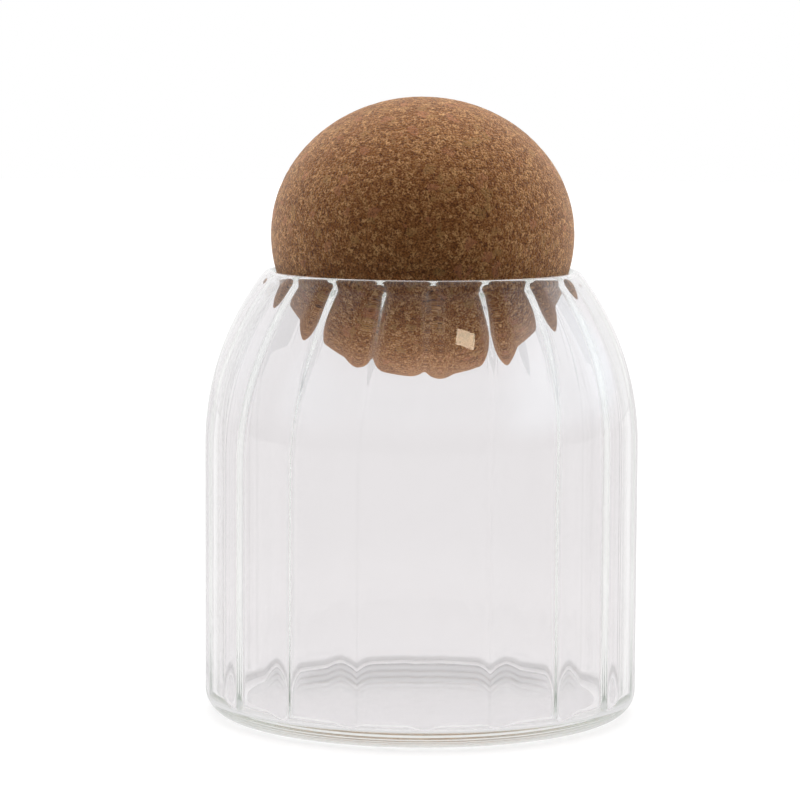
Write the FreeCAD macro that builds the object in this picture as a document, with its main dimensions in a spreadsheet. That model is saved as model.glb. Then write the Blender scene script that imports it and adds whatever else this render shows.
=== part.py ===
import math
import os

import FreeCAD
import Part
import Sketcher

# A ribbed glass storage jar with a ball of pressed cork lying in its mouth.
# The jar stands on the ground plane, centred on the Z axis. All lengths are millimetres.

SIZES = {
    "jar_width": 100.0,
    "jar_height": 102.4,
    "mouth_width": 67.24,
    "wall": 2.5,
    "floor_thickness": 3.9,
    "heel_radius": 5.5,
    "inner_heel_radius": 2.5,
    "shoulder_start": 62.3,
    "lip_radius": 1.7,
    "standing_ring_width": 4.0,
    "punt_depth": 0.8,
    "rib_count": 18,
    "rib_height": 0.82,
    "rib_crest_radius": 5.5,
    "rib_flank_radius": 9.6,
    "rib_flank_sink": 0.05,
    "rib_root_depth": 1.1,
    "rib_foot_bury": 0.2,
    "rib_end_radius": 2.4,
    "rib_end_bury": 0.1,
    "ball_overhang": 1.38,
    "crown_height": 31.63,
    "belly_depth": 32.5,
    "seat_clearance": 0.2,
}

doc = FreeCAD.newDocument("RibbedJar")
sheet = doc.addObject("Spreadsheet::Sheet", "Sizes")
for row, (name, value) in enumerate(SIZES.items(), start=1):
    sheet.set(f"A{row}", name)
    sheet.set(f"B{row}", str(value))
    sheet.setAlias(f"B{row}", name)
doc.recompute()

# The lip is the end of the wall, melted round. Its centre follows from the mouth and the height of the jar.
# Each face of the shoulder is the one arc that leaves the straight wall and runs into that round end, so
# the glass grows a little thicker towards the lip.
LIP_REACH = "(Sizes.mouth_width / 2 + Sizes.lip_radius)"
LIP_LEVEL = "(Sizes.jar_height - Sizes.lip_radius)"
LIP_RISE = f"({LIP_LEVEL} - Sizes.shoulder_start)"
LIP_INSET = f"(Sizes.jar_width / 2 - {LIP_REACH})"
SHOULDER_RADIUS = (
    f"(({LIP_INSET}^2 + {LIP_RISE}^2 - Sizes.lip_radius^2)"
    f" / (2 * ({LIP_INSET} - Sizes.lip_radius)))"
)
INNER_REACH = "(Sizes.jar_width / 2 - Sizes.wall)"
INNER_INSET = f"({INNER_REACH} - {LIP_REACH})"
INNER_RADIUS = (
    f"(({INNER_INSET}^2 + {LIP_RISE}^2 - Sizes.lip_radius^2)"
    f" / (2 * ({INNER_INSET} + Sizes.lip_radius)))"
)

# Each rib is a soft ridge on the inner face. Its foot sinks out of sight in the rounded inner corner, and its
# top bends outwards and sinks into the lip.
CREST_CENTRE = f"({INNER_REACH} - Sizes.rib_height + Sizes.rib_crest_radius)"
RIB_FOOT = (
    "(Sizes.floor_thickness + Sizes.inner_heel_radius - Sizes.rib_foot_bury"
    " - sqrt(Sizes.inner_heel_radius^2 - (Sizes.inner_heel_radius - Sizes.rib_height)^2))"
)
RIB_END_SPOKE = f"({INNER_RADIUS} + Sizes.rib_height + Sizes.rib_end_bury)"
RIB_END_SHARE = f"({RIB_END_SPOKE} / ({INNER_RADIUS} + Sizes.lip_radius))"
RIB_END_REACH = f"({INNER_REACH} - {INNER_RADIUS} + ({INNER_RADIUS} - {INNER_INSET}) * {RIB_END_SHARE})"
RIB_END_LEVEL = f"(Sizes.shoulder_start + {LIP_RISE} * {RIB_END_SHARE})"

# The ball is wider than the mouth and comes to lie in it, one seat clearance away from the lip.
BALL_RADIUS = "(Sizes.mouth_width / 2 + Sizes.ball_overhang)"
SEAT_REACH = "(Sizes.lip_radius + Sizes.seat_clearance)"
BALL_LEVEL = (
    f"({LIP_LEVEL} + (Sizes.belly_depth + {SEAT_REACH})"
    f" * sqrt(1 - ({LIP_REACH} / ({BALL_RADIUS} + {SEAT_REACH}))^2))"
)


def value_of(expression):
    """What an expression on the sheet comes to, to draw a sketch near its final shape."""
    return float(sheet.evalExpression(expression))


def size(name):
    return value_of(f"Sizes.{name}")


def point(across, up):
    return FreeCAD.Vector(across, up, 0)


def origin_feature(body, role):
    return next(f for f in body.Origin.OriginFeatures if f.Role == role)


def new_body(label):
    body = doc.addObject("PartDesign::Body", label)
    body.Label = label
    return body


def attach(feature, body, role):
    feature.AttachmentSupport = [(origin_feature(body, role), "")]
    feature.MapMode = "FlatFace"


def new_sketch(body, name, role):
    sketch = body.newObject("Sketcher::SketchObject", name)
    attach(sketch, body, role)
    return sketch


def draw_line(sketch, first, last):
    return sketch.addGeometry(Part.LineSegment(first, last), False)


def draw_arc(sketch, middle, radius, first_angle, last_angle):
    circle = Part.Circle(middle, FreeCAD.Vector(0, 0, 1), radius)
    return sketch.addGeometry(Part.ArcOfCircle(circle, first_angle, last_angle), False)


def start(piece):
    """The first end of a line or an arc, as a sketch names it."""
    return piece, 1


def end(piece):
    return piece, 2


def centre(piece):
    return piece, 3


def origin_to(place):
    """From the origin of a sketch to a place on one of its pieces."""
    return -1, 1, *place


def hold(sketch, *terms):
    """Adds a rule between pieces of a sketch."""
    return sketch.addConstraint(Sketcher.Constraint(*terms))


def drive(sketch, name, expression, *terms):
    """Adds a dimension to a sketch and ties it to the sheet."""
    index = hold(sketch, *terms, value_of(expression))
    sketch.renameConstraint(index, name)
    sketch.setExpression(f"Constraints.{name}", expression)


def hold_on_level_axis(sketch, place):
    hold(sketch, "PointOnObject", *place, -1)


def hold_on_turning_axis(sketch, place):
    hold(sketch, "PointOnObject", *place, -2)


def draw_jar_section(body):
    """Half of the jar's cut face, from the turning axis out to the wall."""
    sketch = new_sketch(body, "JarSection", "XZ_Plane")
    outer = size("jar_width") / 2
    inner = outer - size("wall")
    floor_top = size("floor_thickness")
    heel_in = size("inner_heel_radius")
    heel_out = size("heel_radius")
    shoulder_level = size("shoulder_start")
    ring_inside = outer - heel_out - size("standing_ring_width")
    punt = size("punt_depth")

    lip_centre = point(value_of(LIP_REACH), value_of(LIP_LEVEL))
    outer_radius = value_of(SHOULDER_RADIUS)
    outer_centre = point(outer - outer_radius, shoulder_level)
    outer_end = math.atan2(lip_centre.y - outer_centre.y, lip_centre.x - outer_centre.x)
    inner_radius = value_of(INNER_RADIUS)
    inner_centre = point(inner - inner_radius, shoulder_level)
    inner_end = math.atan2(lip_centre.y - inner_centre.y, lip_centre.x - inner_centre.x)

    punt_radius = (ring_inside**2 + punt**2) / (2 * punt)
    punt_centre = point(0, punt - punt_radius)
    punt_angle = math.acos(ring_inside / punt_radius)
    quarter = math.pi / 2

    axis = draw_line(sketch, point(0, punt), point(0, floor_top))
    floor = draw_line(sketch, point(0, floor_top), point(inner - heel_in, floor_top))
    inner_heel = draw_arc(sketch, point(inner - heel_in, floor_top + heel_in), heel_in, -quarter, 0)
    inner_wall = draw_line(sketch, point(inner, floor_top + heel_in), point(inner, shoulder_level))
    inner_shoulder = draw_arc(sketch, inner_centre, inner_radius, 0, inner_end)
    lip = draw_arc(sketch, lip_centre, size("lip_radius"), outer_end, inner_end + math.pi)
    outer_shoulder = draw_arc(sketch, outer_centre, outer_radius, 0, outer_end)
    outer_wall = draw_line(sketch, point(outer, heel_out), point(outer, shoulder_level))
    heel = draw_arc(sketch, point(outer - heel_out, heel_out), heel_out, -quarter, 0)
    ring = draw_line(sketch, point(ring_inside, 0), point(outer - heel_out, 0))
    underside = draw_arc(sketch, punt_centre, punt_radius, punt_angle, quarter)

    for first, second in (
        (end(floor), start(inner_heel)),
        (end(inner_heel), start(inner_wall)),
        (end(inner_wall), start(inner_shoulder)),
        (end(inner_shoulder), end(lip)),
        (start(lip), end(outer_shoulder)),
        (start(outer_shoulder), end(outer_wall)),
        (start(outer_wall), end(heel)),
        (start(heel), end(ring)),
    ):
        hold(sketch, "Tangent", *first, *second)
    for first, second in (
        (start(ring), start(underside)),
        (end(underside), start(axis)),
        (end(axis), start(floor)),
    ):
        hold(sketch, "Coincident", *first, *second)
    for upright in (inner_wall, outer_wall):
        hold(sketch, "Vertical", upright)
    for level in (floor, ring):
        hold(sketch, "Horizontal", level)
    for place in (start(axis), end(axis), centre(underside)):
        hold_on_turning_axis(sketch, place)
    hold(sketch, "Horizontal", *end(inner_wall), *end(outer_wall))
    hold_on_level_axis(sketch, start(ring))

    drive(sketch, "reach", "Sizes.jar_width / 2", "DistanceX", *origin_to(start(outer_wall)))
    drive(sketch, "wall", "Sizes.wall", "DistanceX", *start(inner_wall), *start(outer_wall))
    drive(sketch, "shoulder", "Sizes.shoulder_start", "DistanceY", *origin_to(end(outer_wall)))
    drive(sketch, "floor", "Sizes.floor_thickness", "DistanceY", *origin_to(end(axis)))
    drive(sketch, "punt", "Sizes.punt_depth", "DistanceY", *origin_to(start(axis)))
    drive(sketch, "ring", "Sizes.standing_ring_width", "DistanceX", *start(ring), *end(ring))
    drive(sketch, "lip_reach", LIP_REACH, "DistanceX", *origin_to(centre(lip)))
    drive(sketch, "lip_level", LIP_LEVEL, "DistanceY", *origin_to(centre(lip)))
    drive(sketch, "lip", "Sizes.lip_radius", "Radius", lip)
    drive(sketch, "heel", "Sizes.heel_radius", "Radius", heel)
    drive(sketch, "inner_heel", "Sizes.inner_heel_radius", "Radius", inner_heel)
    return sketch


def draw_rib_path(body):
    """The line that one rib follows: up the straight wall, over the shoulder and outwards into the lip."""
    sketch = new_sketch(body, "RibPath", "XZ_Plane")
    reach = value_of(INNER_REACH)
    shoulder_level = size("shoulder_start")
    radius = value_of(INNER_RADIUS)
    end_radius = size("rib_end_radius")
    end_spoke = value_of(RIB_END_SPOKE)
    middle = point(reach - radius, shoulder_level)
    last = point(value_of(RIB_END_REACH), value_of(RIB_END_LEVEL))

    # The last bend lies against the shoulder's arc and passes through the end of the path.
    far = radius + end_radius
    turn = math.acos((far**2 + end_spoke**2 - end_radius**2) / (2 * far * end_spoke))
    bend_angle = math.atan2(last.y - middle.y, last.x - middle.x) - turn
    last_middle = middle + point(math.cos(bend_angle), math.sin(bend_angle)) * far
    last_angle = math.atan2(last.y - last_middle.y, last.x - last_middle.x) % math.tau

    upright = draw_line(sketch, point(reach, value_of(RIB_FOOT)), point(reach, shoulder_level))
    bend = draw_arc(sketch, middle, radius, 0, bend_angle)
    sinking = draw_arc(sketch, last_middle, end_radius, last_angle, bend_angle + math.pi)
    hold(sketch, "Vertical", upright)
    hold(sketch, "Tangent", *end(upright), *start(bend))
    hold(sketch, "Tangent", *end(bend), *end(sinking))
    drive(sketch, "reach", INNER_REACH, "DistanceX", *origin_to(start(upright)))
    drive(sketch, "foot", RIB_FOOT, "DistanceY", *origin_to(start(upright)))
    drive(sketch, "shoulder", "Sizes.shoulder_start", "DistanceY", *origin_to(end(upright)))
    drive(sketch, "bend", INNER_RADIUS, "Radius", bend)
    drive(sketch, "sinking", "Sizes.rib_end_radius", "Radius", sinking)
    drive(sketch, "end_reach", RIB_END_REACH, "DistanceX", *origin_to(start(sinking)))
    drive(sketch, "end_level", RIB_END_LEVEL, "DistanceY", *origin_to(start(sinking)))
    return sketch


def draw_rib_section(body):
    """The cut face of one rib: a round crest, two hollow flanks that run out on the wall, and a root."""
    sketch = new_sketch(body, "RibSection", "XY_Plane")
    sketch.setExpression("AttachmentOffset.Base.z", RIB_FOOT)
    crest_radius = size("rib_crest_radius")
    flank_radius = size("rib_flank_radius")
    crest_middle = point(value_of(CREST_CENTRE), 0)
    tip_reach = value_of(INNER_REACH) + size("rib_flank_sink")
    root_reach = value_of(INNER_REACH) + size("rib_root_depth")

    # The centres of the crest, of a flank and of the jar make a triangle whose sides are known.
    flank_spoke = tip_reach - flank_radius
    between = crest_radius + flank_radius
    spread = math.acos(
        (crest_middle.x**2 + flank_spoke**2 - between**2) / (2 * crest_middle.x * flank_spoke)
    )

    def on_ray(side, reach):
        return point(reach * math.cos(spread), side * reach * math.sin(spread))

    upper_middle = on_ray(1, flank_spoke)
    lower_middle = on_ray(-1, flank_spoke)
    lean = math.atan2(upper_middle.y, upper_middle.x - crest_middle.x)
    crest = draw_arc(sketch, crest_middle, crest_radius, lean, math.tau - lean)
    upper_flank = draw_arc(sketch, upper_middle, flank_radius, lean - math.pi, spread)
    lower_flank = draw_arc(sketch, lower_middle, flank_radius, -spread, math.pi - lean)
    upper_side = draw_line(sketch, on_ray(1, tip_reach), on_ray(1, root_reach))
    lower_side = draw_line(sketch, on_ray(-1, tip_reach), on_ray(-1, root_reach))
    root = draw_arc(sketch, point(0, 0), root_reach, -spread, spread)

    hold(sketch, "Tangent", *start(crest), *start(upper_flank))
    hold(sketch, "Tangent", *end(crest), *end(lower_flank))
    hold(sketch, "Equal", upper_flank, lower_flank)
    for flank_end, side, root_end in (
        (end(upper_flank), upper_side, end(root)),
        (start(lower_flank), lower_side, start(root)),
    ):
        hold(sketch, "Perpendicular", *flank_end, *start(side))
        hold(sketch, "Coincident", *end(side), *root_end)
        hold(sketch, "PointOnObject", *origin_to((side,)))
    hold(sketch, "Coincident", *origin_to(centre(root)))
    hold_on_level_axis(sketch, centre(crest))

    drive(sketch, "crest_centre", CREST_CENTRE, "DistanceX", *origin_to(centre(crest)))
    drive(sketch, "crest", "Sizes.rib_crest_radius", "Radius", crest)
    drive(sketch, "flank", "Sizes.rib_flank_radius", "Radius", upper_flank)
    drive(sketch, "root", f"{INNER_REACH} + Sizes.rib_root_depth", "Radius", root)
    for name, side in (("upper_tip", upper_side), ("lower_tip", lower_side)):
        drive(sketch, name, f"{INNER_REACH} + Sizes.rib_flank_sink", "Distance", *origin_to(start(side)))
    return sketch


def make_jar():
    """One blown piece of glass: a turned shell with ribs all round its inner face."""
    body = new_body("glass_jar")
    section = draw_jar_section(body)
    shell = body.newObject("PartDesign::Revolution", "Shell")
    shell.Profile = section
    shell.ReferenceAxis = (section, ["V_Axis"])
    doc.recompute()

    path = draw_rib_path(body)
    ridge = draw_rib_section(body)
    rib = body.newObject("PartDesign::AdditivePipe", "Rib")
    rib.Profile = ridge
    rib.Spine = (path, ["Edge1", "Edge2", "Edge3"])
    doc.recompute()

    ribs = body.newObject("PartDesign::PolarPattern", "Ribs")
    ribs.Originals = [rib]
    ribs.Axis = (origin_feature(body, "Z_Axis"), [""])
    ribs.setExpression("Occurrences", "Sizes.rib_count")
    body.Tip = ribs
    return body


def add_half_ball(body, name, height, lowest_angle, highest_angle):
    """A half of the ball, flattened or drawn out to its own height above or below the widest level."""
    half = body.newObject("PartDesign::AdditiveEllipsoid", name)
    attach(half, body, "XY_Plane")
    half.setExpression("AttachmentOffset.Base.z", BALL_LEVEL)
    half.setExpression("Radius1", height)
    half.setExpression("Radius2", BALL_RADIUS)
    half.setExpression("Radius3", BALL_RADIUS)
    half.Angle1 = lowest_angle
    half.Angle2 = highest_angle
    doc.recompute()


def make_lid():
    """A ball of pressed cork granules, a little flatter above its widest level than below it."""
    body = new_body("cork_lid")
    add_half_ball(body, "Belly", "Sizes.belly_depth", -90, 0)
    add_half_ball(body, "Crown", "Sizes.crown_height", 0, 90)
    return body


pieces = [make_jar(), make_lid()]
doc.recompute()

faults = [f"{o.Label}: {o.State}" for o in doc.Objects if {"Invalid", "Error"} & set(o.State)]
for piece in pieces:
    if piece.Shape.isNull() or not piece.Shape.isValid():
        faults.append(f"{piece.Label}: no valid shape")
    elif len(piece.Shape.Solids) != 1:
        faults.append(f"{piece.Label}: {len(piece.Shape.Solids)} solids instead of one")
if faults:
    raise RuntimeError("; ".join(faults))

os.makedirs("parts", exist_ok=True)
for piece in pieces:
    piece.Shape.exportStep(f"parts/{piece.Label}.step")
    box = piece.Shape.BoundBox
    print(f"{piece.Label}: {piece.Shape.Volume:.0f} mm3, from {box.ZMin:.2f} to {box.ZMax:.2f} mm")
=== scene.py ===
import math

import bmesh
import bpy
from mathutils import Matrix, Vector, noise


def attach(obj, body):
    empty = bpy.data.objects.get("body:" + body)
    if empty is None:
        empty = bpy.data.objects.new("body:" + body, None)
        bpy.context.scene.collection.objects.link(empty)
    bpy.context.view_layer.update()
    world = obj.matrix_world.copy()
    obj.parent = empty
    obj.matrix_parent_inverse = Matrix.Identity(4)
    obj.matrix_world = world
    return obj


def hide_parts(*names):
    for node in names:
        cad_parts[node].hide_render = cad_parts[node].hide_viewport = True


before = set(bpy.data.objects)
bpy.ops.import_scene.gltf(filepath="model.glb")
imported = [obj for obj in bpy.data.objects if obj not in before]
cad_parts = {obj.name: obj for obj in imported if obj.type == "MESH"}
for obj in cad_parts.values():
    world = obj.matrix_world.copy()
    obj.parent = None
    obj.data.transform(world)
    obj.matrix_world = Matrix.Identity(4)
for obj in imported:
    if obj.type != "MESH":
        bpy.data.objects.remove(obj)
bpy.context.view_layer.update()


# The jar is one piece of clear glass, blown in a ribbed mould and then in a smooth one, so that its outer
# face is smooth and eighteen soft ribs run down the inner face. The straight wall closes in a domed
# shoulder to a lip that is melted round, and the jar stands on a flat ring about a shallow hollow.
MM = 0.001
JAR_RADIUS = 50 * MM
WALL = 2.5 * MM
FLOOR = 3.9 * MM
HEEL_RADIUS = 5.5 * MM
INNER_HEEL_RADIUS = 2.5 * MM
RING_WIDTH = 4 * MM
PUNT_DEPTH = 0.8 * MM
SHOULDER_LEVEL = 62.3 * MM
LIP_RADIUS = 1.7 * MM
LIP_REACH = 35.32 * MM
LIP_LEVEL = 100.7 * MM

INNER_RADIUS = JAR_RADIUS - WALL
INNER_FOOT = INNER_RADIUS - INNER_HEEL_RADIUS
WALL_FOOT = FLOOR + INNER_HEEL_RADIUS
HEEL_REACH = JAR_RADIUS - HEEL_RADIUS
RING_INSIDE = HEEL_REACH - RING_WIDTH
PUNT_BEND = (RING_INSIDE**2 + PUNT_DEPTH**2) / (2 * PUNT_DEPTH)
LIP_RISE = LIP_LEVEL - SHOULDER_LEVEL
LIP_INSIDE = LIP_REACH - 0.8 * LIP_RADIUS
OUTER_INSET = JAR_RADIUS - LIP_REACH
OUTER_BEND = (OUTER_INSET**2 + LIP_RISE**2 - LIP_RADIUS**2) / (2 * (OUTER_INSET - LIP_RADIUS))
OUTER_TURN = math.atan2(LIP_RISE, OUTER_BEND - OUTER_INSET)
INNER_INSET = INNER_RADIUS - LIP_REACH
INNER_BEND = (INNER_INSET**2 + LIP_RISE**2 - LIP_RADIUS**2) / (2 * (INNER_INSET + LIP_RADIUS))
INNER_TURN = math.atan2(LIP_RISE, INNER_BEND - INNER_INSET)

RIB_COUNT = 18
RIB_SLOPE = math.radians(19)
RIB_CREST_RADIUS = 5.5 * MM
RIB_FLANK_RADIUS = 9.6 * MM
RIB_START = math.radians(0.9)
RIB_TWIST = math.radians(3.2)
RIB_TWIST_LOW = -5 * MM
RIB_TWIST_HIGH = 38 * MM
RIB_CREST_REACH = RIB_CREST_RADIUS * math.sin(RIB_SLOPE)
RIB_REACH = RIB_CREST_REACH + RIB_FLANK_RADIUS * math.sin(RIB_SLOPE)
RIB_HEIGHT = (RIB_CREST_RADIUS + RIB_FLANK_RADIUS) * (1 - math.cos(RIB_SLOPE))
RIB_END_RADIUS = 2.4 * MM
RIB_END_BEND = 1 / RIB_END_RADIUS + 1 / INNER_BEND
RIB_END_LENGTH = math.sqrt(2 * RIB_HEIGHT / RIB_END_BEND)
RIB_END_PAST_LIP = 1.0 * MM
RIB_END_TURN = 1.5 * RIB_END_LENGTH / INNER_BEND

TURN_STEPS = 576
FLOOR_STEPS = 3
INNER_WALL_STEPS = 6
OUTER_WALL_STEPS = 4
PUNT_STEPS = 4
SMALL_BEND_STEPS = 16
INNER_SHOULDER_STEPS = 22
RIB_END_STEPS = 10
OUTER_SHOULDER_STEPS = 24
EDGE = 0.4 * MM
TOUCH = 0.01 * MM
WELD = 0.001 * MM


def draw_straight(section, tip, across, up, strides):
    """Carries the section on from its last point by a straight line, in equal strides."""
    for _ in range(strides):
        tip = bmesh.ops.extrude_vert_indiv(section, verts=[tip])["verts"][0]
        bmesh.ops.translate(section, verts=[tip], vec=(across / strides, 0, up / strides))
    return tip


def draw_bend(section, tip, across, up, turn, strides):
    """Carries the section on by an arc about a centre, upwards from level where the turn is above zero."""
    swept = bmesh.ops.spin(
        section, geom=[tip], cent=(across, 0, up), axis=(0, -1, 0), angle=turn, steps=strides
    )
    return next(part for part in swept["geom_last"] if isinstance(part, bmesh.types.BMVert))


def ease(value, start, end):
    """Goes smoothly from nought at the start to one at the end."""
    share = min(max((value - start) / (end - start), 0), 1)
    return share * share * (3 - 2 * share)


def rib_rise(away):
    """How far a rib stands out of the wall, at a distance round the wall from its crest."""
    away = abs(away)
    if away < RIB_CREST_REACH:
        return RIB_HEIGHT - RIB_CREST_RADIUS + math.sqrt(RIB_CREST_RADIUS**2 - away**2)
    if away < RIB_REACH:
        return RIB_FLANK_RADIUS - math.sqrt(RIB_FLANK_RADIUS**2 - (RIB_REACH - away) ** 2)
    return 0


def on_inner_face(spot):
    """Whether a point lies on the inner face of heel, wall, shoulder or lip, which carries the ribs."""
    reach = math.hypot(spot.x, spot.y)
    lift = spot.z - SHOULDER_LEVEL
    if lift <= 0:
        return FLOOR + TOUCH < spot.z and reach < INNER_RADIUS + TOUCH
    on_shoulder = abs(math.hypot(reach - INNER_RADIUS + INNER_BEND, lift) - INNER_BEND) < TOUCH
    return on_shoulder or reach < LIP_INSIDE and spot.z < LIP_LEVEL


def raise_ribs(face):
    """Pushes the inner face inwards along the ribs, which sink away in the heel and in the lip."""
    pitch = math.tau / RIB_COUNT
    for vert in face:
        outward = Vector((vert.co.x, vert.co.y, 0))
        reach = outward.length
        outward.normalize()
        lift = vert.co.z - SHOULDER_LEVEL
        twist = RIB_TWIST * ease(lift, RIB_TWIST_LOW, RIB_TWIST_HIGH)
        angle = math.atan2(vert.co.x, -vert.co.y) - RIB_START - twist
        rise = rib_rise((angle - pitch * round(angle / pitch)) * INNER_RADIUS)
        if lift < 0:
            vert.co -= max(rise - INNER_RADIUS + reach, 0) * outward
            continue
        if lift > 0:
            rise *= INNER_RADIUS / reach
        turn = math.atan2(lift, reach - INNER_RADIUS + INNER_BEND)
        to_lip = (INNER_TURN - turn) * INNER_BEND
        if to_lip < TOUCH:
            turn = math.atan2(LIP_LEVEL - vert.co.z, LIP_REACH - reach)
            to_lip = (turn - INNER_TURN) * LIP_RADIUS
        past = max(RIB_END_LENGTH - RIB_END_PAST_LIP - to_lip, 0)
        rise -= past**2 / 2 * RIB_END_BEND
        vert.co -= max(rise, 0) * (math.cos(turn) * outward + Vector((0, 0, math.sin(turn))))


glass = bmesh.new()
tip = bmesh.ops.create_vert(glass, co=(0, 0, FLOOR))["vert"][0]
tip = draw_straight(glass, tip, INNER_FOOT - EDGE, 0, FLOOR_STEPS)
tip = draw_straight(glass, tip, EDGE, 0, 1)
tip = draw_bend(glass, tip, INNER_FOOT, WALL_FOOT, math.pi / 2, SMALL_BEND_STEPS)
tip = draw_straight(glass, tip, 0, EDGE, 1)
tip = draw_straight(glass, tip, 0, SHOULDER_LEVEL - WALL_FOOT - EDGE, INNER_WALL_STEPS)
inner_axis = INNER_RADIUS - INNER_BEND
inner_turn = INNER_TURN - RIB_END_TURN
tip = draw_bend(glass, tip, inner_axis, SHOULDER_LEVEL, inner_turn, INNER_SHOULDER_STEPS)
tip = draw_bend(glass, tip, inner_axis, SHOULDER_LEVEL, RIB_END_TURN, RIB_END_STEPS)
tip = draw_bend(glass, tip, LIP_REACH, LIP_LEVEL, OUTER_TURN - INNER_TURN - math.pi, SMALL_BEND_STEPS)
outer_axis = JAR_RADIUS - OUTER_BEND
tip = draw_bend(glass, tip, outer_axis, SHOULDER_LEVEL, -OUTER_TURN, OUTER_SHOULDER_STEPS)
tip = draw_straight(glass, tip, 0, HEEL_RADIUS - SHOULDER_LEVEL + EDGE, OUTER_WALL_STEPS)
tip = draw_straight(glass, tip, 0, -EDGE, 1)
tip = draw_bend(glass, tip, HEEL_REACH, HEEL_RADIUS, -math.pi / 2, SMALL_BEND_STEPS)
tip = draw_straight(glass, tip, -EDGE, 0, 1)
tip = draw_straight(glass, tip, 2 * EDGE - RING_WIDTH, 0, 1)
tip = draw_straight(glass, tip, -EDGE, 0, 1)
punt_turn = math.asin(RING_INSIDE / PUNT_BEND)
tip = draw_bend(glass, tip, 0, PUNT_DEPTH - PUNT_BEND, punt_turn, PUNT_STEPS)
bmesh.ops.spin(
    glass, geom=glass.verts[:] + glass.edges[:], cent=(0, 0, 0), axis=(0, 0, 1),
    angle=math.tau, steps=TURN_STEPS, use_merge=True,
)
bmesh.ops.remove_doubles(glass, verts=glass.verts[:], dist=WELD)
raise_ribs([vert for vert in glass.verts if on_inner_face(vert.co)])
bmesh.ops.recalc_face_normals(glass, faces=glass.faces[:])
for face in glass.faces:
    face.smooth = True


def set_down(bm, name):
    """Makes the finished bmesh an object of the scene."""
    mesh = bpy.data.meshes.new(name)
    bm.to_mesh(mesh)
    bm.free()
    piece = bpy.data.objects.new(name, mesh)
    bpy.context.scene.collection.objects.link(piece)
    return piece


class Reading:
    """A value read at each point of a surface, which adds its Math nodes when it is reckoned with."""

    def __init__(self, tree, socket=None):
        self.tree = tree
        self.socket = socket

    def node(self, kind, settings=None, sockets=None, output=0):
        """Adds a node, sets it, then fills its sockets with numbers, colours or other readings."""
        made = self.tree.nodes.new(kind)
        for name, value in (settings or {}).items():
            if name == "stops":
                ramp = made.color_ramp.elements
                while len(ramp) < len(value):
                    ramp.new(1)
                for stop, (place, colour) in zip(ramp, value):
                    stop.position = place
                    stop.color = (*colour, 1)
            else:
                setattr(made, name, value)
        for name, value in (sockets or {}).items():
            if isinstance(value, Reading):
                self.tree.links.new(value.socket, made.inputs[name])
            else:
                made.inputs[name].default_value = value
        if not made.outputs:
            return made
        return Reading(self.tree, made.outputs[output])

    def reckon(self, operation, first, second=0.0):
        return self.node("ShaderNodeMath", {"operation": operation}, {0: first, 1: second})

    def __add__(self, other):
        return self.reckon("ADD", self, other)

    def __sub__(self, other):
        return self.reckon("SUBTRACT", self, other)

    def __mul__(self, other):
        return self.reckon("MULTIPLY", self, other)

    def __truediv__(self, other):
        return self.reckon("DIVIDE", self, other)

    def __radd__(self, other):
        return self.reckon("ADD", other, self)

    def __rsub__(self, other):
        return self.reckon("SUBTRACT", other, self)

    def __rmul__(self, other):
        return self.reckon("MULTIPLY", other, self)

    def __rtruediv__(self, other):
        return self.reckon("DIVIDE", other, self)

    def between(self, low, high, start=0.0, end=1.0):
        """Maps a span of this reading smoothly onto another span."""
        return self.node(
            "ShaderNodeMapRange",
            {"interpolation_type": "SMOOTHSTEP"},
            {"Value": self, 1: low, 2: high, 3: start, 4: end},
        )

    def mix(self, first, second):
        """A colour that goes from the first to the second as this reading goes from nought to one."""
        return self.node(
            "ShaderNodeMix", {"data_type": "RGBA"}, {"Factor": self, 6: first, 7: second}, output=2
        )


def new_finish(name):
    """An empty material, and a reading to start its nodes from."""
    material = bpy.data.materials.new(name)
    material.use_nodes = True
    material.node_tree.nodes.clear()
    return material, Reading(material.node_tree)


GLASS_TINT = (0.845, 0.833, 0.84, 1)
GLASS_DEPTH_COLOUR = (0.5, 0.75, 0.5, 1)
GLASS_ABSORPTION = 1
GLASS_BENDING = 1.48
WAVES_PER_METRE = 120
WAVE_STRETCH = (1, 1, 0.25)
WAVE_HEIGHT = 0.4 * MM
WAVE_STRENGTH = 0.02

glass_finish, start = new_finish("clear_glass")
place = start.node("ShaderNodeTexCoord", output="Object")
drawn = start.node("ShaderNodeMapping", None, {"Vector": place, "Scale": WAVE_STRETCH})
waves = start.node("ShaderNodeTexNoise", None, {"Vector": drawn, "Scale": WAVES_PER_METRE, "Detail": 2})
sway = start.node("ShaderNodeBump", None, {
    "Height": waves, "Strength": WAVE_STRENGTH, "Distance": WAVE_HEIGHT,
})
clear = start.node("ShaderNodeBsdfPrincipled", None, {
    "Base Color": GLASS_TINT, "Roughness": 0.0, "IOR": GLASS_BENDING, "Transmission Weight": 1.0,
    "Normal": sway,
})
depth = start.node("ShaderNodeVolumeAbsorption", None, {
    "Color": GLASS_DEPTH_COLOUR, "Density": GLASS_ABSORPTION,
})
start.node("ShaderNodeOutputMaterial", None, {"Surface": clear, "Volume": depth})

jar = set_down(glass, "jar_glass")
jar.data.materials.append(glass_finish)
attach(jar, "jar")
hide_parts("glass_jar")


# The lid is a ball of pressed cork granules, turned a little flatter on top than below. Nothing fastens it:
# it lies in the round lip by its own weight. Its skin shows the cut granules, their seams and small pits.
CORK_RADIUS = 34.95 * MM
CORK_LEVEL = 110.65 * MM
CORK_CROWN = 31.6 * MM
CORK_BELLY = 32.45 * MM
PIT_SPACING = 1.6 * MM
PIT_DEPTH = 0.10 * MM
PIT_EDGE = 0.35
SWELL_SPACING = 14 * MM
SWELL_DEPTH = 0.10 * MM
BALL_SUBDIVISIONS = 7

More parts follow.
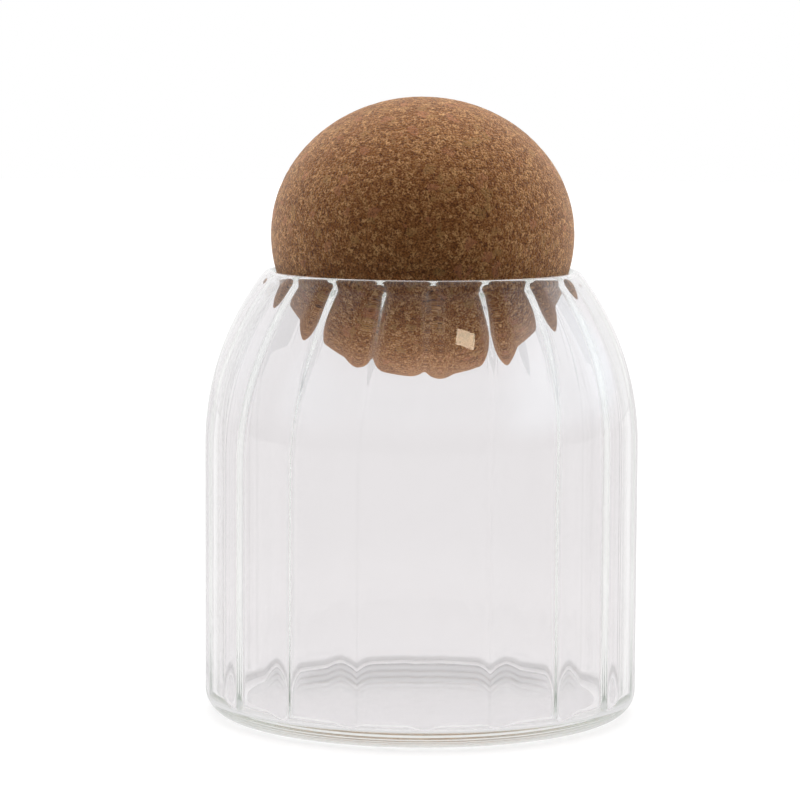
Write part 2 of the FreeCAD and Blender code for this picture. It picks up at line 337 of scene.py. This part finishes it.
ball = bmesh.new()
bmesh.ops.create_icosphere(ball, subdivisions=BALL_SUBDIVISIONS, radius=1)
for vert in ball.verts:
    way = vert.co.normalized()
    tall = CORK_CROWN if way.z > 0 else CORK_BELLY
    spot = Vector((way.x * CORK_RADIUS, way.y * CORK_RADIUS, way.z * tall))
    pit = noise.voronoi(spot / PIT_SPACING)[0][0]
    swell = noise.noise(spot / SWELL_SPACING)
    sink = PIT_DEPTH * max(0, pit - PIT_EDGE) + SWELL_DEPTH * (0.5 - 0.5 * swell)
    vert.co = spot - way * sink + Vector((0, 0, CORK_LEVEL))
for face in ball.faces:
    face.smooth = True

GRANULES_PER_METRE = 1150
CHIPS_PER_METRE = 480
GRAINS_PER_METRE = 2300
CLOUDS_PER_METRE = 450
BENDS_PER_METRE = 1300
BEND_REACH = 1.0 * MM
CORK_TONES = [
    (0.0, (0.14, 0.046, 0.011)),
    (0.35, (0.34, 0.128, 0.035)),
    (0.6, (0.5, 0.222, 0.076)),
    (1.0, (0.95, 0.58, 0.27)),
]
GRANULE_SHARE = 0.42
GRAIN_SHARE = 0.5
GRAIN_SPAN = (0.32, 0.68)
CLOUD_SHARE = 0.08
CLOUD_SPAN = (0.3, 0.7)
ROSY_CHIP = (0.6, 0.25, 0.12, 1)
TAN_CHIP = (0.56, 0.3, 0.11, 1)
CHIP_HUE_SPAN = (0.45, 0.55)
CHIP_SPAN = (0.87, 0.9)
CHIP_SHARE = 0.6
SEAM_BROWN = (0.07, 0.024, 0.008, 1)
SPECK_SPAN = (0.42, 0.33)
SPECK_SHARE = 0.5
SEAM_SPAN = (0.09, 0.0)
SEAM_BREAKS = (0.62, 0.42)
SEAM_SHARE = 0.45
DARKEST_SHARE = 0.85
CORK_ROUGHNESS = 0.6
GRAIN_ROUGHNESS = 0.2
CORK_GLOSS = 0.15
CORK_BLOOM = (1.0, 0.93, 0.84, 1)
BLOOM_WEIGHT = 0.32
BLOOM_ROUGHNESS = 0.4
SEAM_GROOVE = (0.0, 0.15)
SEAM_RELIEF = 0.5
GRAIN_RELIEF = 1.2
RELIEF_STRENGTH = 0.9
RELIEF_DEPTH = 0.2 * MM

cork_finish, start = new_finish("pressed_cork")
place = start.node("ShaderNodeTexCoord", output="Object")
bend = start.node(
    "ShaderNodeTexNoise", None, {"Vector": place, "Scale": BENDS_PER_METRE, "Detail": 2}, output="Color"
)
shift = start.node("ShaderNodeVectorMath", {"operation": "SUBTRACT"}, {0: bend, 1: (0.5, 0.5, 0.5)})
shift = start.node("ShaderNodeVectorMath", {"operation": "SCALE"}, {0: shift, "Scale": BEND_REACH})
warped = start.node("ShaderNodeVectorMath", {"operation": "ADD"}, {0: place, 1: shift})
granules = {"Vector": warped, "Scale": GRANULES_PER_METRE}
chips = {"Vector": warped, "Scale": CHIPS_PER_METRE}
granule = start.node("ShaderNodeTexVoronoi", None, granules, output="Color")
seam = start.node("ShaderNodeTexVoronoi", {"feature": "DISTANCE_TO_EDGE"}, granules)
chip = start.node("ShaderNodeTexVoronoi", None, chips, output="Color")
grain = start.node("ShaderNodeTexNoise", None, {
    "Vector": place, "Scale": GRAINS_PER_METRE, "Detail": 2, "Roughness": 0.6,
})
cloud = start.node("ShaderNodeTexNoise", None, {"Vector": place, "Scale": CLOUDS_PER_METRE, "Detail": 2})
chance = start.node("ShaderNodeSeparateColor", None, {"Color": granule}, output="Red")
chip_chance = start.node("ShaderNodeSeparateColor", None, {"Color": chip}, output="Red")
chip_hue = start.node("ShaderNodeSeparateColor", None, {"Color": chip}, output="Green")
paleness = chance * GRANULE_SHARE + grain.between(*GRAIN_SPAN) * GRAIN_SHARE
paleness = paleness + cloud.between(*CLOUD_SPAN) * CLOUD_SHARE
tone = start.node("ShaderNodeValToRGB", {"stops": CORK_TONES}, {"Fac": paleness})
chip_tone = chip_hue.between(*CHIP_HUE_SPAN).mix(ROSY_CHIP, TAN_CHIP)
tone = (chip_chance.between(*CHIP_SPAN) * CHIP_SHARE).mix(tone, chip_tone)
speck = grain.between(*SPECK_SPAN)
crack = seam.between(*SEAM_SPAN) * grain.between(*SEAM_BREAKS)
dark = start.reckon("MINIMUM", speck * SPECK_SHARE + crack * SEAM_SHARE, DARKEST_SHARE)
colour = dark.mix(tone, SEAM_BROWN)
rough = CORK_ROUGHNESS + grain * GRAIN_ROUGHNESS
height = seam.between(*SEAM_GROOVE) * SEAM_RELIEF + grain * GRAIN_RELIEF
relief = start.node("ShaderNodeBump", None, {
    "Height": height, "Strength": RELIEF_STRENGTH, "Distance": RELIEF_DEPTH,
})
skin = start.node("ShaderNodeBsdfPrincipled", None, {
    "Base Color": colour, "Roughness": rough, "Normal": relief,
    "Sheen Weight": BLOOM_WEIGHT, "Sheen Roughness": BLOOM_ROUGHNESS, "Sheen Tint": CORK_BLOOM,
    "Specular IOR Level": CORK_GLOSS,
})
start.node("ShaderNodeOutputMaterial", None, {"Surface": skin})

lid = set_down(ball, "cork_ball")
lid.data.materials.append(cork_finish)
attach(lid, "lid")
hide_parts("cork_lid")


# The table is a pale sheet that runs out of sight in a white room. The viewer and the glass see it white,
# with a soft painted shade round the foot of the jar and painted light in a brighter glow under it, and a
# painted shade makes it duller towards the viewer in the glass. The light that it throws up at the cork is
# strong beneath and behind the jar, and weak in front.
WHITE = (1, 1, 1, 1)
TABLE_REACH = 3
TABLE_GREY = (0.25, 0.25, 0.25, 1)
TABLE_GLOW = 0.85
# The brighter glow under the jar is painted light. The dimmer glows round the foot and towards the viewer,
# seen direct and in reflections, are painted shade.
UNDER_JAR_PAINTED_LIGHT = 1.06
FOOT_SHADE_GLOW = 0.5
FRONT_SHADE_GLOW = 0.4
MIRRORED_GLOW = 0.8
MIRRORED_FRONT_SHADE_GLOW = 0.3
NEAR_LIGHT = 0.16
FAR_LIGHT = 2.1
BENEATH_LIGHT = 3.6
UNDER_EDGE = (50 * MM, 40 * MM)
FOOT_INSIDE = 38 * MM
FOOT_LINE = 47 * MM
FOOT_OUTSIDE = 56 * MM
FOOT_FRONT_SHARE = 0.3
FOOT_BACK = 30 * MM
FRONT_EDGE = (100 * MM, 200 * MM)
FRONT_BEARING = (0.8, 0.3)
MIRRORED_EDGE = (60 * MM, 120 * MM)
MIRRORED_BEARING = (0.0, -0.6)
BENEATH_EDGE = (110 * MM, 60 * MM)
LIGHT_EDGE = (-200 * MM, 100 * MM)


def shine(start, strength):
    """A surface that shines evenly white."""
    return start.node("ShaderNodeEmission", None, {"Color": WHITE, "Strength": strength})


def blend(share, first, second):
    """A surface that goes from the first to the second as the share goes from nought to one."""
    return share.node("ShaderNodeMixShader", None, {0: share, 1: first, 2: second})


table = bmesh.new()
bmesh.ops.create_grid(table, x_segments=8, y_segments=8, size=TABLE_REACH)

table_finish, start = new_finish("pale_table")
direct = start.node("ShaderNodeLightPath", output="Is Camera Ray")
glossy = start.node("ShaderNodeLightPath", output="Is Glossy Ray")
through = start.node("ShaderNodeLightPath", output="Is Transmission Ray")
scattered = start.reckon("MINIMUM", start.node("ShaderNodeLightPath", output="Diffuse Depth"), 1.0)
seen = start.reckon("MINIMUM", direct + glossy + through, 1.0) * (1 - scattered)
mirrored = glossy * (1 - through)
place = start.node("ShaderNodeTexCoord", output="Object")
reach = start.node("ShaderNodeVectorMath", {"operation": "LENGTH"}, {0: place}, output="Value")
away = start.node("ShaderNodeSeparateXYZ", None, {0: place}, output="Y")
bearing = away / reach
# Painted shade: a dim ring round the foot of the jar, deepest at the foot line and weaker at the front.
foot_shade = reach.between(FOOT_INSIDE, FOOT_LINE) * reach.between(FOOT_OUTSIDE, FOOT_LINE)
foot_shade = foot_shade * away.between(0.0, FOOT_BACK, FOOT_FRONT_SHARE, 1.0)
# Painted shade: the table is dimmer towards the viewer where the glass shows it, through it and in its
# reflections.
front_shade = (1 - direct) * reach.between(*FRONT_EDGE) * bearing.between(*FRONT_BEARING)
viewer_side_shade = reach.between(*MIRRORED_EDGE) * bearing.between(*MIRRORED_BEARING)
# Painted light: the table glows brighter under the jar.
glow = blend(reach.between(*UNDER_EDGE), shine(start, TABLE_GLOW), shine(start, UNDER_JAR_PAINTED_LIGHT))
glow = blend(foot_shade, glow, shine(start, FOOT_SHADE_GLOW))
glow = blend(front_shade, glow, shine(start, FRONT_SHADE_GLOW))
sheet = start.node("ShaderNodeBsdfDiffuse", None, {"Color": TABLE_GREY})
shown = start.node("ShaderNodeAddShader", None, {0: sheet, 1: glow})
mirror_glow = blend(viewer_side_shade, shine(start, MIRRORED_GLOW), shine(start, MIRRORED_FRONT_SHADE_GLOW))
shown = blend(mirrored, shown, mirror_glow)
thrown = blend(away.between(*LIGHT_EDGE), shine(start, NEAR_LIGHT), shine(start, FAR_LIGHT))
thrown = blend(reach.between(*BENEATH_EDGE), thrown, shine(start, BENEATH_LIGHT))
start.node("ShaderNodeOutputMaterial", None, {"Surface": blend(seen, thrown, shown)})

floor = set_down(table, "table")
floor.data.materials.append(table_finish)


# The room is a soft white tent, bright behind and above, dim and warm at the front where the viewer is.
# Seen direct it is white. The glass shows it white too, but for the dim front, and mirrors its windows.
FRONT_LIGHT = 0.02
BACK_LIGHT = 1.65
TOP_LIGHT = 2.6
FRONT_COLOUR = (1, 0.66, 0.45, 1)
UPPER_GLOOM = 0.8
SIDE_GLOOM = 0.4
DIMMEST = 0.15
FRONT_WINDOW = 0.9
RIGHT_WINDOW = 2
LEFT_WINDOW = 0.6
WINDOW_COLOUR = (0.8, 0.92, 1, 1)
MIRRORED_ROOM = 0.04

world = bpy.data.worlds.new("soft_tent")
bpy.context.scene.world = world
world.use_nodes = True
world.node_tree.nodes.clear()
start = Reading(world.node_tree)
way = start.node("ShaderNodeTexCoord", output="Generated")
aside = start.node("ShaderNodeSeparateXYZ", None, {0: way}, output="X")
ahead = start.node("ShaderNodeSeparateXYZ", None, {0: way}, output="Y")
above = start.node("ShaderNodeSeparateXYZ", None, {0: way}, output="Z")
direct = start.node("ShaderNodeLightPath", output="Is Camera Ray")
sharp = 1 - start.reckon("MINIMUM", start.node("ShaderNodeLightPath", output="Diffuse Depth"), 1.0)
through = start.node("ShaderNodeLightPath", output="Is Transmission Ray") * sharp
mirrored = start.node("ShaderNodeLightPath", output="Is Glossy Ray") * sharp * (1 - through)
thrown = 1 - direct - through - mirrored
light = ahead.between(-0.35, 0.6, FRONT_LIGHT, BACK_LIGHT)
light = light + above.between(0.6, 1.0, 0.0, TOP_LIGHT) * ahead.between(-0.5, 0.1)
upper = ahead.between(0.0, -0.4) * above.between(0.15, 0.55) * above.between(0.98, 0.92)
side = ahead.between(0.7, 0.0) * above.between(0.6, 0.3)
gloom = upper * UPPER_GLOOM + side * SIDE_GLOOM
window = above.between(0.0, 0.3) * above.between(0.65, 0.35) * ahead.between(0.0, -0.3) * FRONT_WINDOW
window = window + aside.between(0.6, 0.9) * above.between(-0.05, 0.2) * RIGHT_WINDOW
window = window + aside.between(-0.6, -0.9) * above.between(-0.05, 0.2) * LEFT_WINDOW
strength = direct + through * start.reckon("MAXIMUM", 1 - gloom, DIMMEST)
strength = strength + mirrored * (ahead.between(0.0, 0.7, MIRRORED_ROOM, 1.0) + window)
strength = strength + thrown * light
daylight = (thrown * ahead.between(0.0, -0.5)).mix(WHITE, FRONT_COLOUR)
daylight = (mirrored * window).mix(daylight, WINDOW_COLOUR)
white = start.node("ShaderNodeBackground", None, {"Color": daylight, "Strength": strength})
start.node("ShaderNodeOutputWorld", None, {"Surface": white})


# One small window pane shines on the outer face of the jar, from the right of the viewer and well above.
# It is a weak, even panel that leans a little, and rays through the glass don't see it. Its angles are
# those seen from the middle of the jar.
PANE_WIDTH = 0.16
PANE_HEIGHT = 0.12
PANE_POWER = 0.65
PANE_COLOUR = (1.0, 0.85, 0.62)
PANE_AIM = Vector((0, 0, 0.08))
PANE_DISTANCE = 1.0
PANE_SWING = math.radians(30.2)
PANE_RISE = math.radians(43)
PANE_LEAN = math.radians(-25)

pane = bpy.data.lights.new("window_lamp", "AREA")
pane.shape = "RECTANGLE"
pane.size = PANE_WIDTH
pane.size_y = PANE_HEIGHT
pane.energy = PANE_POWER
pane.color = PANE_COLOUR
holder = bpy.data.objects.new("window_lamp", pane)
outward = Vector((math.sin(PANE_SWING), -math.cos(PANE_SWING), 0)) * math.cos(PANE_RISE)
outward.z = math.sin(PANE_RISE)
turned = outward.to_track_quat("Z", "Y").to_matrix().to_4x4() @ Matrix.Rotation(PANE_LEAN, 4, "Z")
holder.matrix_world = Matrix.Translation(PANE_AIM + outward * PANE_DISTANCE) @ turned
holder.visible_camera = False
holder.visible_transmission = False
bpy.context.scene.collection.objects.link(holder)


# The viewer stands a little above the lid and looks down at the middle of the jar, through a long lens.
# Light runs far along the inside of the glass, so its rays are followed through many bounces.
CAMERA_PLACE = Vector((0, -0.7793, 0.15472))
CAMERA_YAW = math.radians(-0.369)
CAMERA_PITCH = math.radians(6.04)
CAMERA_ROLL = math.radians(0.284)
CAMERA_LENS = 152.46
CAMERA_SENSOR = 36
CAMERA_NEAREST = 10 * MM
ALL_BOUNCES = 96
GLASS_BOUNCES = 64

camera = bpy.data.objects.new("camera", bpy.data.cameras.new("camera"))
camera.data.sensor_width = CAMERA_SENSOR
camera.data.lens = CAMERA_LENS
camera.data.clip_start = CAMERA_NEAREST
sight = Vector((math.sin(CAMERA_YAW), math.cos(CAMERA_YAW), 0)) * math.cos(CAMERA_PITCH)
sight.z = -math.sin(CAMERA_PITCH)
level = Vector((math.cos(CAMERA_YAW), -math.sin(CAMERA_YAW), 0))
upright = level.cross(sight)
right = math.cos(CAMERA_ROLL) * level + math.sin(CAMERA_ROLL) * upright
up = -math.sin(CAMERA_ROLL) * level + math.cos(CAMERA_ROLL) * upright
camera.matrix_world = Matrix.Translation(CAMERA_PLACE) @ Matrix((right, up, -sight)).transposed().to_4x4()
bpy.context.scene.collection.objects.link(camera)
bpy.context.scene.camera = camera

bpy.context.scene.view_settings.view_transform = "Standard"
bpy.context.scene.cycles.max_bounces = ALL_BOUNCES
bpy.context.scene.cycles.glossy_bounces = GLASS_BOUNCES
bpy.context.scene.cycles.transmission_bounces = GLASS_BOUNCES
